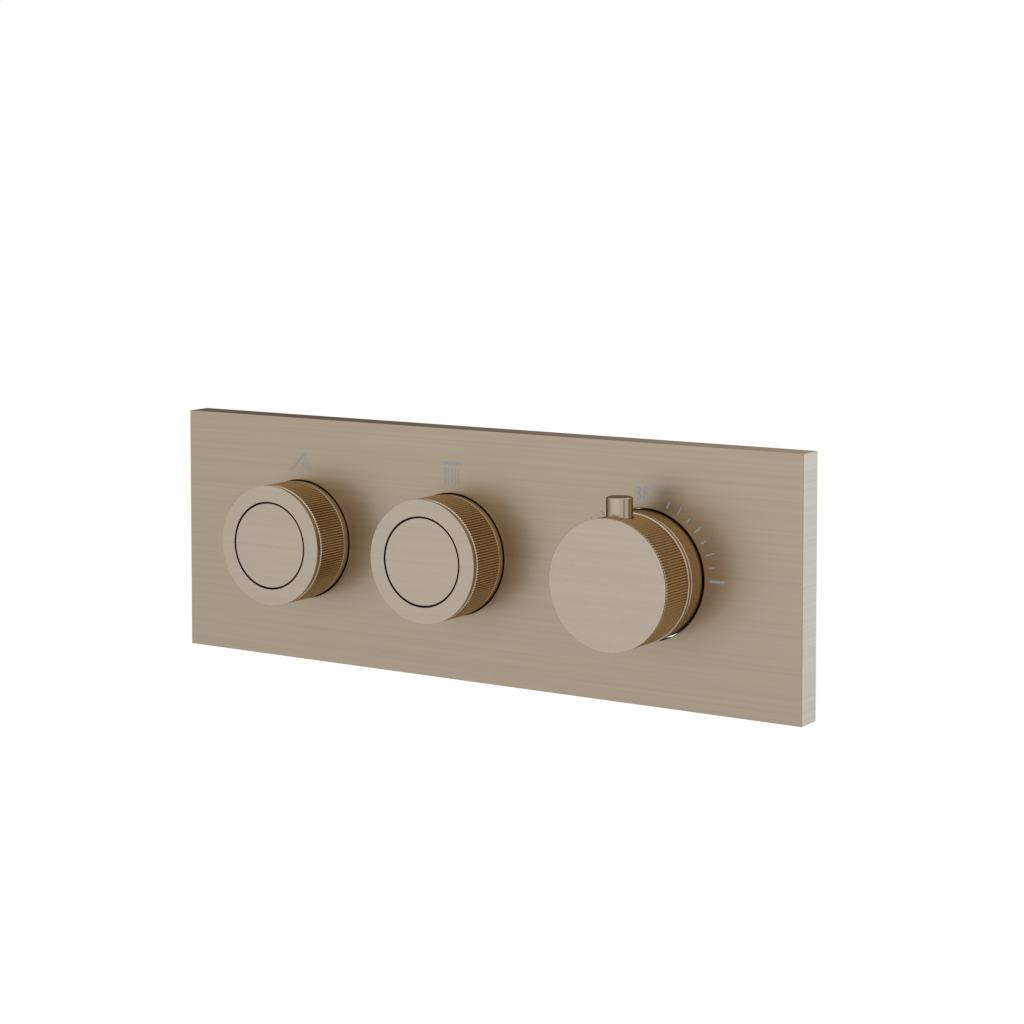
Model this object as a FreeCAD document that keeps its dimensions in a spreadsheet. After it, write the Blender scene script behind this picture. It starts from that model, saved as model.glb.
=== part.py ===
import FreeCAD, Part
import math
import os
import re
import Sketcher
from FreeCAD import Placement, Rotation, Vector

# Trim of a concealed thermostatic shower valve: a hollow plate with two push-and-turn flow controls and a
# temperature dial with a safety button. Lengths are millimetres. The row frame has +X to the right, -Y out of
# the wall and +Z up, with the origin on the wall behind the plate's centre. "Out" is a distance from the
# wall, and "rise" is a height above the plate's front face.
SIZES = {
    # Face plate, and the places of the controls along it
    "plate_width": 230.0,
    "plate_height": 80.0,
    "plate_depth": 9.3,
    "plate_skin": 2.5,
    "plate_wall": 2.0,
    "plate_edge_break": 0.2,
    "overhead_offset": 7.5,
    "handset_pitch": 60.0,
    "dial_pitch": 70.0,
    # Clearances that several pieces share
    "press_gap": 0.02,
    "bearing_gap": 0.08,
    "running_gap": 0.3,
    "screw_gap": 0.1,
    "overrun": 1.0,
    # Mounting tray, its gasket and its screws
    "gasket_thickness": 1.0,
    "gasket_width": 7.0,
    "tray_sheet": 1.5,
    "tray_gap": 0.3,
    "tray_screw_inset": 5.7,
    "tray_screw_radius": 2.0,
    "tray_screw_thread_radius": 1.8,
    "tray_screw_head_radius": 3.5,
    "tray_screw_head_height": 2.4,
    "tray_screw_reach": 15.0,
    # Grub screws: two under the plate, one under each knob
    "grub_radius": 2.0,
    "grub_sink": 0.4,
    "grub_socket_radius": 1.15,
    "grub_socket_depth": 1.2,
    "plate_grub_across": 160.0,
    # Knurling of the grips and the dial
    "knurl_depth": 0.32,
    "knurl_groove_width": 0.92,
    "knurl_lead": 0.35,
    "grip_knurl_count": 142,
    "dial_knurl_count": 144,
    # Grip of a flow control
    "grip_rise": 17.4,
    "grip_radius": 19.55,
    "grip_edge_break": 0.12,
    "grip_rim": 1.05,
    "grip_groove": 1.3,
    "undercut_depth": 0.42,
    "grip_knurl_rise": 2.9,
    "grip_relief": 0.5,
    "grip_base_radius": 19.3,
    "grip_base_edge": 0.08,
    "grip_hole_gap": 0.2,
    "grip_sink": 4.0,
    "grip_wall": 2.0,
    "grip_web": 2.5,
    # Carrier in the grip, with the socket for the valve's flow sleeve
    "carrier_wall": 1.6,
    "carrier_inset": 1.0,
    "carrier_web": 2.5,
    "socket_standoff": 3.0,
    "flow_socket_radius": 6.0,
    "flow_socket_depth": 10.0,
    "flow_hub_wall": 2.5,
    "flow_key_width": 2.4,
    "flow_key_depth": 1.0,
    # Guide ring, its seal and the foam ring behind the plate's hole
    "guide_wall": 3.0,
    "guide_flange": 1.5,
    "guide_seal": 1.8,
    "plate_seal_setback": 0.8,
    "plate_seal_width": 2.4,
    # Push button, its plunger and its return spring
    "button_radius": 13.75,
    "button_gap": 0.55,
    "button_cap": 2.0,
    "button_skirt": 1.5,
    "button_flange_gap": 0.6,
    "button_flange": 1.7,
    "button_boss_radius": 4.5,
    "button_boss_length": 3.5,
    "plunger_spigot_radius": 2.0,
    "plunger_spigot_length": 3.0,
    "plunger_radius": 3.0,
    "plunger_setback": 0.2,
    "button_spring_radius": 7.5,
    "button_spring_wire": 0.45,
    "button_spring_turns": 3.5,
    # Temperature dial
    "dial_rise": 23.1,
    "dial_radius": 19.9,
    "dial_rim": 0.45,
    "dial_groove": 0.35,
    "dial_knurl_rise": 9.55,
    "dial_relief": 0.2,
    "dial_rear_radius": 20.1,
    "dial_rear_edge": 0.4,
    "dial_wall": 2.1,
    "dial_web": 2.5,
    # Fixed collar behind the dial, on three ears
    "collar_radius": 19.75,
    "collar_rise": 6.95,
    "collar_clearance": 0.85,
    "collar_edge_break": 0.3,
    "collar_wall": 2.25,
    "collar_ledge": 1.0,
    "dial_hole_gap": 0.42,
    "ear_thickness": 2.0,
    "ear_width": 8.0,
    "ear_screw_circle": 27.0,
    "ear_count": 3,
    "tray_dial_gap": 0.6,
    "collar_screw_radius": 1.5,
    "collar_screw_thread_radius": 1.3,
    "collar_screw_head_radius": 2.75,
    "collar_screw_head_height": 2.0,
    # Stop ring in the collar, with its seal and the dial's end stops
    "stop_out": 8.0,
    "stop_thickness": 4.0,
    "stop_seal": 1.8,
    "stop_inner_radius": 12.0,
    "stop_outer_radius": 16.0,
    "stop_height": 3.5,
    "stop_lug_width": 6.0,
    "stop_lug_gap": 0.5,
    # Carrier in the dial, with the socket for the thermostat's spindle
    "dial_carrier_wall": 2.0,
    "dial_carrier_inset": 0.5,
    "dial_carrier_web": 2.2,
    "dial_hub_radius": 9.0,
    "spindle_radius": 4.0,
    "spindle_depth": 12.0,
    "spindle_key_width": 1.6,
    "spindle_key_depth": 0.8,
    # Safety button on the dial, and its spring
    "safety_rise": 15.4,
    "safety_radius": 4.0,
    "safety_gap": 0.25,
    "safety_stand": 5.6,
    "safety_round": 0.5,
    "safety_flange_radius": 5.2,
    "safety_flange": 1.2,
    "safety_flange_gap": 0.2,
    "safety_stem_radius": 2.0,
    "safety_stem_reach": 3.0,
    "safety_travel": 2.0,
    "safety_seat_depth": 1.0,
    "safety_spring_radius": 3.2,
    "safety_spring_wire": 0.3,
    "safety_spring_turns": 4.0,
}

# Places that several pieces meet at, written in the sheet's sizes
HANDSET_ACROSS = "-(overhead_offset + handset_pitch)"
OVERHEAD_ACROSS = "-overhead_offset"
DIAL_ACROSS = "(dial_pitch - overhead_offset)"
PLATE_BACK = "(plate_depth - plate_skin)"
TRAY_FACE = "(gasket_thickness + tray_sheet)"
TRAY_GRUB_OUT = f"(({TRAY_FACE} + {PLATE_BACK}) / 2)"
TRAY_WIDTH = "(plate_width - 2 * plate_wall - 2 * tray_gap)"
TRAY_HEIGHT = "(plate_height - 2 * plate_wall - 2 * tray_gap)"
TRAY_SCREW_ACROSS = f"({TRAY_WIDTH} / 2 - gasket_width - tray_screw_inset)"
TRAY_SCREW_UP = f"({TRAY_HEIGHT} / 2 - gasket_width - tray_screw_inset)"
SOCKET_MOUTH = f"({TRAY_FACE} + socket_standoff)"

GRIP_FACE = "(plate_depth + grip_rise)"
GRIP_REAR = "(plate_depth - grip_sink)"
GRIP_WEB_BACK = f"({GRIP_FACE} - grip_web)"
GRIP_UNDERCUT = "(grip_radius - undercut_depth)"
GRIP_BORE = "(grip_base_radius - grip_wall)"
GRIP_HOLE = "(grip_base_radius + grip_hole_gap)"
CARRIER_OUTER = f"({GRIP_BORE} - press_gap)"
CARRIER_INNER = f"({CARRIER_OUTER} - carrier_wall)"
FLOW_HUB = "(flow_socket_radius + flow_hub_wall)"
FLOW_FLOOR = f"({SOCKET_MOUTH} + flow_socket_depth)"
CARRIER_FACE = f"({FLOW_FLOOR} + carrier_web)"
GRIP_GRUB_OUT = f"(({FLOW_FLOOR} + {CARRIER_FACE}) / 2)"
GUIDE_OUTER = f"({CARRIER_INNER} - bearing_gap)"
GUIDE_INNER = f"({GUIDE_OUTER} - guide_wall)"
GUIDE_FACE = f"({TRAY_FACE} + guide_flange)"
GUIDE_SEAL_OUT = f"(({GUIDE_FACE} + {FLOW_FLOOR}) / 2)"
PLATE_SEAL_INNER = f"({GRIP_HOLE} + plate_seal_setback)"
PLATE_SEAL_OUTER = f"({PLATE_SEAL_INNER} + plate_seal_width)"
BUTTON_BACK = f"({GRIP_FACE} - button_cap)"
BOSS_END = f"({BUTTON_BACK} - button_boss_length)"

DIAL_FACE = "(plate_depth + dial_rise)"
DIAL_REAR = "(plate_depth + collar_rise + collar_clearance)"
DIAL_WEB_BACK = f"({DIAL_FACE} - dial_web)"
DIAL_UNDERCUT = "(dial_radius - undercut_depth)"
DIAL_BORE = f"({DIAL_UNDERCUT} - dial_wall)"
DIAL_HOLE = "(collar_radius + dial_hole_gap)"
COLLAR_FACE = "(plate_depth + collar_rise)"
COLLAR_BORE = "(collar_radius - collar_wall)"
EAR_FACE = f"({TRAY_FACE} + ear_thickness)"
STOP_FACE = "(stop_out + stop_thickness)"
STOP_BORE = "(dial_hub_radius + bearing_gap)"
DIAL_CARRIER_OUTER = f"({DIAL_BORE} - press_gap)"
DIAL_CARRIER_INNER = f"({DIAL_CARRIER_OUTER} - dial_carrier_wall)"
DIAL_CARRIER_REAR = f"({DIAL_REAR} + dial_carrier_inset)"
DIAL_CARRIER_FACE = f"({DIAL_CARRIER_REAR} + dial_carrier_web)"
DIAL_CARRIER_FRONT = f"({DIAL_WEB_BACK} - press_gap)"
DIAL_GRUB_OUT = f"(({DIAL_CARRIER_FACE} + {DIAL_CARRIER_FRONT}) / 2)"
SPINDLE_FLOOR = f"({SOCKET_MOUTH} + spindle_depth)"
SAFETY_OUT = "(plate_depth + safety_rise)"
SAFETY_FLANGE_FACE = f"(sqrt({DIAL_BORE} ^ 2 - safety_flange_radius ^ 2) - safety_flange_gap)"
SAFETY_FLANGE_BACK = f"({SAFETY_FLANGE_FACE} - safety_flange)"
SAFETY_SEAT = "(dial_hub_radius - safety_seat_depth)"
SAFETY_STEM_END = f"({SAFETY_SEAT} - safety_stem_reach)"

# How a piece's own axes lie in the row frame: its Z points out of the wall, up or down
OUT_OF_WALL = Rotation(Vector(1, 0, 0), 90)
UPWARDS = Rotation()
DOWNWARDS = Rotation(Vector(1, 0, 0), 180)

doc = FreeCAD.newDocument("shower_valve_trim")
sheet = doc.addObject("Spreadsheet::Sheet", "Sizes")
for row, (alias, value) in enumerate(SIZES.items(), start=1):
    sheet.set(f"A{row}", alias)
    sheet.set(f"B{row}", str(value))
    sheet.setAlias(f"B{row}", alias)
doc.recompute()
pieces = []


def cells(formula):
    """The formula with each size's name turned into its cell of the sheet."""
    return re.sub(r"[a-z][a-z0-9_]*", lambda m: f"Sizes.{m[0]}" if m[0] in SIZES else m[0], formula)


def bind(item, prop, formula):
    item.setExpression(prop, cells(formula))


def place(item, turn, across="0", out="0", up="0"):
    """Puts an object's origin at a place in the row frame, with its axes turned."""
    item.Placement = Placement(Vector(), turn)
    bind(item, "Placement.Base.x", across)
    bind(item, "Placement.Base.y", f"-({out})")
    bind(item, "Placement.Base.z", up)


def new_body(label, turn=OUT_OF_WALL, across="0", out="0"):
    body = doc.addObject("PartDesign::Body", label)
    body.Label = label
    place(body, turn, across, out)
    pieces.append(body)
    return body


def new_sketch(body, role, name, lift="0"):
    """A sketch on one of the body's own planes, lifted along the plane's normal."""
    plane = next(item for item in body.Origin.OriginFeatures if item.Role == role)
    sketch = body.newObject("Sketcher::SketchObject", f"{body.Label}_{name}")
    sketch.AttachmentSupport = [(plane, "")]
    sketch.MapMode = "FlatFace"
    bind(sketch, "AttachmentOffset.Base.z", lift)
    return sketch


def pin_point(sketch, geometry, end, across, up):
    """Fixes one point of a sketch by its two coordinates, a zero by the axis itself."""
    for kind, formula, axis in (("DistanceX", across, -2), ("DistanceY", up, -1)):
        if formula == "0":
            sketch.addConstraint(Sketcher.Constraint("PointOnObject", geometry, end, axis))
            continue
        index = sketch.addConstraint(Sketcher.Constraint(kind, -1, 1, geometry, end, 1.0))
        bind(sketch, f"Constraints[{index}]", formula)


def draw_outline(sketch, points):
    """A closed outline of straight edges through points given as pairs of formulas."""
    first = sketch.GeometryCount
    count = len(points)
    turns = [2 * math.pi * i / count for i in range(count)]
    start = [Vector(math.cos(a), math.sin(a), 0) for a in turns]
    for i in range(count):
        sketch.addGeometry(Part.LineSegment(start[i], start[(i + 1) % count]))
    for i in range(count):
        following = first + (i + 1) % count
        sketch.addConstraint(Sketcher.Constraint("Coincident", first + i, 2, following, 1))
    for i, (across, up) in enumerate(points):
        pin_point(sketch, first + i, 1, across, up)


def draw_rectangle(sketch, left, right, bottom, top):
    draw_outline(sketch, [(left, bottom), (right, bottom), (right, top), (left, top)])


def draw_middle_rectangle(sketch, width, height):
    draw_rectangle(sketch, f"-({width}) / 2", f"({width}) / 2", f"-({height}) / 2", f"({height}) / 2")


def draw_circle(sketch, across, up, radius):
    geometry = sketch.addGeometry(Part.Circle(Vector(1, 1, 0), Vector(0, 0, 1), 1.0))
    pin_point(sketch, geometry, 3, across, up)
    index = sketch.addConstraint(Sketcher.Constraint("Radius", geometry, 1.0))
    bind(sketch, f"Constraints[{index}]", radius)


def pad(body, sketch, length, backwards=False):
    feature = body.newObject("PartDesign::Pad", f"{sketch.Label}_pad")
    feature.Profile = sketch
    feature.Reversed = backwards
    bind(feature, "Length", length)
    return feature


def pocket(body, sketch, depth, along_normal=False):
    """Cuts against the sketch plane's normal, or along it, and checks that it cut something."""
    doc.recompute()
    before = body.Shape.Volume
    feature = body.newObject("PartDesign::Pocket", f"{sketch.Label}_pocket")
    feature.Profile = sketch
    feature.Reversed = along_normal
    bind(feature, "Length", depth)
    doc.recompute()
    if not body.Shape.Volume < before:
        raise RuntimeError(f"{feature.Label} cuts nothing")
    return feature


def repeat_round(body, features, sketch, count):
    """Copies features evenly round the body's own axis."""
    pattern = body.newObject("PartDesign::PolarPattern", f"{sketch.Label}_pattern")
    pattern.Originals = features
    pattern.Axis = (sketch, ["N_Axis"])
    pattern.Angle = 360
    bind(pattern, "Occurrences", count)
    body.Tip = pattern


def turned(label, profile, turn=OUT_OF_WALL, across="0", out="0"):
    """A turned piece: a profile of (radius, place along the axis) spun about the body's Z."""
    body = new_body(label, turn, across, out)
    sketch = new_sketch(body, "XZ_Plane", "profile")
    draw_outline(sketch, profile)
    feature = body.newObject("PartDesign::Revolution", f"{label}_turned")
    feature.Profile = sketch
    feature.ReferenceAxis = (sketch, ["V_Axis"])
    feature.Angle = 360
    return body


def cut_knurl(body, crest, front, rear, count):
    """Straight V grooves along a turned band, side by side, that run out into the undercuts at its ends."""
    sketch = new_sketch(body, "XY_Plane", "groove", lift=front)
    root = f"({crest} - knurl_depth)"
    rim = f"({crest} + overrun)"
    half_rim = f"(knurl_groove_width / 2 * ({rim} - {root}) / knurl_depth)"
    draw_outline(sketch, [("0", root), (half_rim, rim), (f"-{half_rim}", rim)])
    groove = pocket(body, sketch, f"{front} - ({rear})")
    repeat_round(body, [groove], sketch, count)


def cut_radial_hole(body, name, out, radius, start, end, below=False):
    """A round hole square to the body's axis, above it or below it, between two distances from it."""
    lift = start if below else f"-({start})"
    sketch = new_sketch(body, "XZ_Plane", name, lift)
    draw_circle(sketch, "0", out, radius)
    pocket(body, sketch, f"{end} - ({start})", along_normal=below)


def edges_at(shape, level):
    """The names of a shape's flat edges at one level along its Z."""
    return [f"Edge{i}" for i, edge in enumerate(shape.Edges, start=1)
            if math.isclose(edge.BoundBox.ZMin, level, abs_tol=Part.Precision.approximation())]


def cylinder(name, radius, height, turn, across, out, up):
    item = doc.addObject("Part::Cylinder", name)
    bind(item, "Radius", radius)
    bind(item, "Height", height)
    place(item, turn, across, out, up)
    return item


def screw(name, neck, length, across, out, up):
    """A pan-head screw along the wall's normal, with its head's seat at the given place and a plain neck."""
    head = cylinder(f"{name}_head", f"{name}_head_radius", f"{name}_head_height",
                    OUT_OF_WALL, across, out, up)
    plain = cylinder(f"{name}_neck", f"{name}_radius", neck,
                     OUT_OF_WALL, across, f"{out} - ({neck})", up)
    thread = cylinder(f"{name}_thread", f"{name}_thread_radius", length,
                      OUT_OF_WALL, across, f"{out} - ({length})", up)
    whole = doc.addObject("Part::MultiFuse", name)
    whole.Shapes = [head, plain, thread]
    return whole


def grub_screw(name, across, out, inner, outer):
    """A grub screw that points up at the axis from below, with a hexagon socket in its lower end."""
    length = f"({outer} - ({inner}))"
    shank = cylinder(f"{name}_shank", "grub_radius", length, DOWNWARDS, across, out, f"-({inner})")
    socket = doc.addObject("Part::Prism", f"{name}_socket")
    socket.Polygon = 6
    bind(socket, "Circumradius", "grub_socket_radius")
    bind(socket, "Height", "grub_socket_depth + overrun")
    place(socket, DOWNWARDS, across, out, f"grub_socket_depth - ({outer})")
    whole = doc.addObject("Part::Cut", name)
    whole.Base = shank
    whole.Tool = socket
    return whole


def keep(label, item):
    item.Label = label
    pieces.append(item)


def keep_group(label, members):
    """Like pieces kept together as separate solids of one node."""
    group = doc.addObject("Part::Compound", label)
    group.Links = members
    keep(label, group)


def arc_between(start, heading, end):
    """The circular arc that leaves a point along a heading and ends at another point."""
    chord = end - start
    along = heading.dot(chord) / chord.Length
    bulge = heading - chord * (along / chord.Length)
    bulge.normalize()
    height = chord.Length / 2 * math.tan(math.acos(along) / 2)
    return Part.Arc(start, (start + end) * 0.5 + bulge * height, end).toShape()


def coil(label, radius, wire, turns, seat, head, turn, across, out="0", up="0"):
    """A spring between its seat and its head, of six-sided wire: half turns, each a pair of tangent arcs."""
    space = cylinder(f"{label}_space", radius, f"{head} - ({seat})", turn, across, out, up)
    doc.recompute()
    radius = space.Radius.Value
    wire = sheet.get(wire)
    halves = round(2 * sheet.get(turns))
    rise = (space.Height.Value - 2 * wire) / halves
    points = []
    headings = []
    for i in range(halves + 1):
        side = (-1) ** i
        points.append(Vector(side * radius, 0, wire + i * rise))
        headings.append(Vector(0, side * radius, rise / math.pi).normalize())
    edges = []
    for start, end, leave, arrive in zip(points, points[1:], headings, headings[1:]):
        chord = end - start
        lean = chord.dot(leave + arrive)
        spread = 2 * (1 - leave.dot(arrive))
        reach = (math.sqrt(lean ** 2 + spread * chord.dot(chord)) - lean) / spread
        joint = (start + end + (leave - arrive) * reach) * 0.5
        passing = joint - start - leave * reach
        edges.append(arc_between(start, leave, joint))
        edges.append(arc_between(joint, passing.normalize(), end))
    flat = Vector(1, 0, 0)
    upright = headings[0].cross(flat)
    corners = [points[0] + flat * (wire * math.cos(a)) + upright * (wire * math.sin(a))
               for a in (i * math.pi / 3 for i in range(6))]
    section = Part.makePolygon(corners + corners[:1])
    item = doc.addObject("Part::Feature", label)
    item.Shape = Part.Wire(edges).makePipeShell([section], True, False)
    item.Placement = space.Placement
    keep(label, item)


# Face plate: a hollow plate, open at the wall, with a round hole for each control and two grub screw holes
def make_face_plate():
    body = new_body("face_plate")
    block = new_sketch(body, "XY_Plane", "block")
    draw_middle_rectangle(block, "plate_width", "plate_height")
    pad(body, block, "plate_depth")
    hollow = new_sketch(body, "XY_Plane", "hollow")
    draw_middle_rectangle(hollow, "plate_width - 2 * plate_wall", "plate_height - 2 * plate_wall")
    pocket(body, hollow, PLATE_BACK, along_normal=True)
    holes = new_sketch(body, "XY_Plane", "holes", lift="plate_depth")
    draw_circle(holes, HANDSET_ACROSS, "0", GRIP_HOLE)
    draw_circle(holes, OVERHEAD_ACROSS, "0", GRIP_HOLE)
    draw_circle(holes, DIAL_ACROSS, "0", DIAL_HOLE)
    pocket(body, holes, "plate_skin + overrun")
    grubs = new_sketch(body, "XZ_Plane", "grub_holes")
    draw_circle(grubs, "plate_grub_across / 2", TRAY_GRUB_OUT, "grub_radius + screw_gap")
    draw_circle(grubs, "-plate_grub_across / 2", TRAY_GRUB_OUT, "grub_radius + screw_gap")
    pierced = pocket(body, grubs, "plate_height / 2 + overrun", along_normal=True)
    rims = edges_at(pierced.Shape, pierced.Shape.BoundBox.ZMax)
    softened = body.newObject("PartDesign::Chamfer", "face_plate_edges")
    softened.Base = (pierced, rims)
    bind(softened, "Size", "plate_edge_break")


# Mounting tray: folded sheet inside the plate, screwed to the valve's box, that carries everything fixed
def make_mounting_tray():
    body = new_body("mounting_tray")
    block = new_sketch(body, "XY_Plane", "block", lift="gasket_thickness")
    draw_middle_rectangle(block, TRAY_WIDTH, TRAY_HEIGHT)
    pad(body, block, f"{PLATE_BACK} - gasket_thickness")
    hollow = new_sketch(body, "XY_Plane", "hollow", lift=PLATE_BACK)
    draw_middle_rectangle(hollow, f"{TRAY_WIDTH} - 2 * tray_sheet", f"{TRAY_HEIGHT} - 2 * tray_sheet")
    pocket(body, hollow, f"{PLATE_BACK} - {TRAY_FACE}")
    holes = new_sketch(body, "XY_Plane", "holes", lift=TRAY_FACE)
    draw_circle(holes, HANDSET_ACROSS, "0", f"{GUIDE_OUTER} + press_gap")
    draw_circle(holes, OVERHEAD_ACROSS, "0", f"{GUIDE_OUTER} + press_gap")
    draw_circle(holes, DIAL_ACROSS, "0", "collar_radius + tray_dial_gap")
    for across, up in tray_screw_places():
        draw_circle(holes, across, up, "tray_screw_radius + screw_gap")
    for across, up in ear_screw_places():
        draw_circle(holes, across, up, "collar_screw_thread_radius + press_gap")
    pocket(body, holes, "tray_sheet + overrun")
    grubs = new_sketch(body, "XZ_Plane", "grub_holes")
    draw_circle(grubs, "plate_grub_across / 2", TRAY_GRUB_OUT, "grub_radius + screw_gap")
    draw_circle(grubs, "-plate_grub_across / 2", TRAY_GRUB_OUT, "grub_radius + screw_gap")
    pocket(body, grubs, "plate_height / 2", along_normal=True)
    keep_group("tray_screws", [
        screw("tray_screw", "tray_sheet", f"{TRAY_FACE} + tray_screw_reach", across, TRAY_FACE, up)
        for across, up in tray_screw_places()])
    inner = f"{TRAY_HEIGHT} / 2 - tray_sheet"
    keep_group("plate_grub_screws", [
        grub_screw(f"plate_grub_screw_{side}", f"{sign}plate_grub_across / 2", TRAY_GRUB_OUT,
                   inner, "plate_height / 2 - grub_sink")
        for side, sign in (("left", "-"), ("right", ""))])


def tray_screw_places():
    return [(f"{a}{TRAY_SCREW_ACROSS}", f"{b}{TRAY_SCREW_UP}") for a in ("-", "") for b in ("-", "")]


def ear_screw_places():
    turns = [f"{i} * 360 deg / ear_count" for i in range(round(sheet.get("ear_count")))]
    return [(f"{DIAL_ACROSS} + ear_screw_circle * cos({turn})", f"ear_screw_circle * sin({turn})")
            for turn in turns]


# Wall gasket: a foam ring between the tray and the wall
def make_wall_gasket():
    body = new_body("wall_gasket")
    ring = new_sketch(body, "XY_Plane", "ring")
    draw_middle_rectangle(ring, TRAY_WIDTH, TRAY_HEIGHT)
    draw_middle_rectangle(ring, f"{TRAY_WIDTH} - 2 * gasket_width", f"{TRAY_HEIGHT} - 2 * gasket_width")
    pad(body, ring, "gasket_thickness")


# Flow control: a knurled grip on a plastic carrier turns on a guide ring in the tray. The button in its
# middle slides against a spring and its plunger reaches through the carrier to the valve.
def make_flow_control(name, across):
    grip = turned(f"{name}_grip", [
        ("button_radius + button_gap", GRIP_FACE),
        ("grip_radius - grip_edge_break", GRIP_FACE),
        ("grip_radius", f"{GRIP_FACE} - grip_edge_break"),
        ("grip_radius", f"{GRIP_FACE} - grip_rim"),
        (GRIP_UNDERCUT, f"{GRIP_FACE} - grip_rim"),
        (GRIP_UNDERCUT, f"{GRIP_FACE} - grip_rim - grip_groove"),
        ("grip_radius", f"{GRIP_FACE} - grip_rim - grip_groove - knurl_lead"),
        ("grip_radius", "plate_depth + grip_knurl_rise"),
        (GRIP_UNDERCUT, "plate_depth + grip_knurl_rise"),
        (GRIP_UNDERCUT, "plate_depth + grip_knurl_rise - grip_relief"),
        ("grip_base_radius - grip_base_edge", "plate_depth + grip_knurl_rise - grip_relief"),
        ("grip_base_radius", "plate_depth + grip_knurl_rise - grip_relief - grip_base_edge"),
        ("grip_base_radius", GRIP_REAR),
        (GRIP_BORE, GRIP_REAR),
        (GRIP_BORE, GRIP_WEB_BACK),
        ("button_radius + button_gap", GRIP_WEB_BACK)], across=across)
    cut_knurl(grip, "grip_radius", f"({GRIP_FACE} - grip_rim - grip_groove / 2)",
              "plate_depth + grip_knurl_rise - grip_relief / 2", "grip_knurl_count")
    cut_radial_hole(grip, "grub_hole", GRIP_GRUB_OUT, "grub_radius + screw_gap", "0",
                    "grip_radius + overrun", below=True)
    grub_inner = f"({CARRIER_INNER} + running_gap)"
    keep(f"{name}_grip_screw", grub_screw(f"{name}_grip_grub", across, GRIP_GRUB_OUT, grub_inner,
                                          "grip_radius - knurl_depth - grub_sink"))

    carrier = turned(f"{name}_carrier", [
        ("flow_socket_radius", SOCKET_MOUTH),
        (FLOW_HUB, SOCKET_MOUTH),
        (FLOW_HUB, FLOW_FLOOR),
        (CARRIER_INNER, FLOW_FLOOR),
        (CARRIER_INNER, f"{GRIP_REAR} + carrier_inset"),
        (CARRIER_OUTER, f"{GRIP_REAR} + carrier_inset"),
        (CARRIER_OUTER, f"{GRIP_WEB_BACK} - press_gap"),
        (CARRIER_INNER, f"{GRIP_WEB_BACK} - press_gap"),
        (CARRIER_INNER, CARRIER_FACE),
        ("plunger_radius + bearing_gap", CARRIER_FACE),
        ("plunger_radius + bearing_gap", FLOW_FLOOR),
        ("flow_socket_radius", FLOW_FLOOR)], across=across)
    cut_key_slots(carrier, "flow_key_width", "flow_socket_radius + flow_key_depth", "flow_socket_depth")
    cut_radial_hole(carrier, "grub_hole", GRIP_GRUB_OUT, "grub_radius + screw_gap", grub_inner,
                    f"{CARRIER_OUTER} + overrun", below=True)

    seal_floor = f"{GUIDE_OUTER} - guide_seal - press_gap"
    seal_rear = f"{GUIDE_SEAL_OUT} - guide_seal / 2 - press_gap"
    seal_front = f"{GUIDE_SEAL_OUT} + guide_seal / 2 + press_gap"
    turned(f"{name}_guide_ring", [
        (GUIDE_INNER, "gasket_thickness"),
        (GUIDE_OUTER, "gasket_thickness"),
        (GUIDE_OUTER, TRAY_FACE),
        (PLATE_SEAL_OUTER, TRAY_FACE),
        (PLATE_SEAL_OUTER, GUIDE_FACE),
        (GUIDE_OUTER, GUIDE_FACE),
        (GUIDE_OUTER, seal_rear),
        (seal_floor, seal_rear),
        (seal_floor, seal_front),
        (GUIDE_OUTER, seal_front),
        (GUIDE_OUTER, f"{FLOW_FLOOR} - running_gap"),
        (GUIDE_INNER, f"{FLOW_FLOOR} - running_gap")], across=across)
    turned(f"{name}_guide_seal", [
        (f"{GUIDE_OUTER} - guide_seal", f"{GUIDE_SEAL_OUT} - guide_seal / 2"),
        (GUIDE_OUTER, f"{GUIDE_SEAL_OUT} - guide_seal / 2"),
        (GUIDE_OUTER, f"{GUIDE_SEAL_OUT} + guide_seal / 2"),
        (f"{GUIDE_OUTER} - guide_seal", f"{GUIDE_SEAL_OUT} + guide_seal / 2")], across=across)
    turned(f"{name}_plate_seal", [
        (PLATE_SEAL_INNER, GUIDE_FACE),
        (PLATE_SEAL_OUTER, GUIDE_FACE),
        (PLATE_SEAL_OUTER, PLATE_BACK),
        (PLATE_SEAL_INNER, PLATE_BACK)], across=across)

    flange = f"({CARRIER_INNER} - button_flange_gap)"
    flange_face = f"({GRIP_WEB_BACK} - running_gap)"
    turned(f"{name}_button", [
        ("0", GRIP_FACE),
        ("button_radius - grip_edge_break", GRIP_FACE),
        ("button_radius", f"{GRIP_FACE} - grip_edge_break"),
        ("button_radius", flange_face),
        (flange, flange_face),
        (flange, f"{flange_face} - button_flange"),
        ("button_radius - button_skirt", f"{flange_face} - button_flange"),
        ("button_radius - button_skirt", BUTTON_BACK),
        ("button_boss_radius", BUTTON_BACK),
        ("button_boss_radius", BOSS_END),
        ("plunger_spigot_radius + press_gap", BOSS_END),
        ("plunger_spigot_radius + press_gap", f"{BOSS_END} + plunger_spigot_length + press_gap"),
        ("0", f"{BOSS_END} + plunger_spigot_length + press_gap")], across=across)
    turned(f"{name}_plunger", [
        ("0", f"{FLOW_FLOOR} + plunger_setback"),
        ("plunger_radius", f"{FLOW_FLOOR} + plunger_setback"),
        ("plunger_radius", BOSS_END),
        ("plunger_spigot_radius", BOSS_END),
        ("plunger_spigot_radius", f"{BOSS_END} + plunger_spigot_length"),
        ("0", f"{BOSS_END} + plunger_spigot_length")], across=across)
    coil(f"{name}_spring", "button_spring_radius", "button_spring_wire", "button_spring_turns",
         CARRIER_FACE, BUTTON_BACK, OUT_OF_WALL, across, out=CARRIER_FACE)


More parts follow.
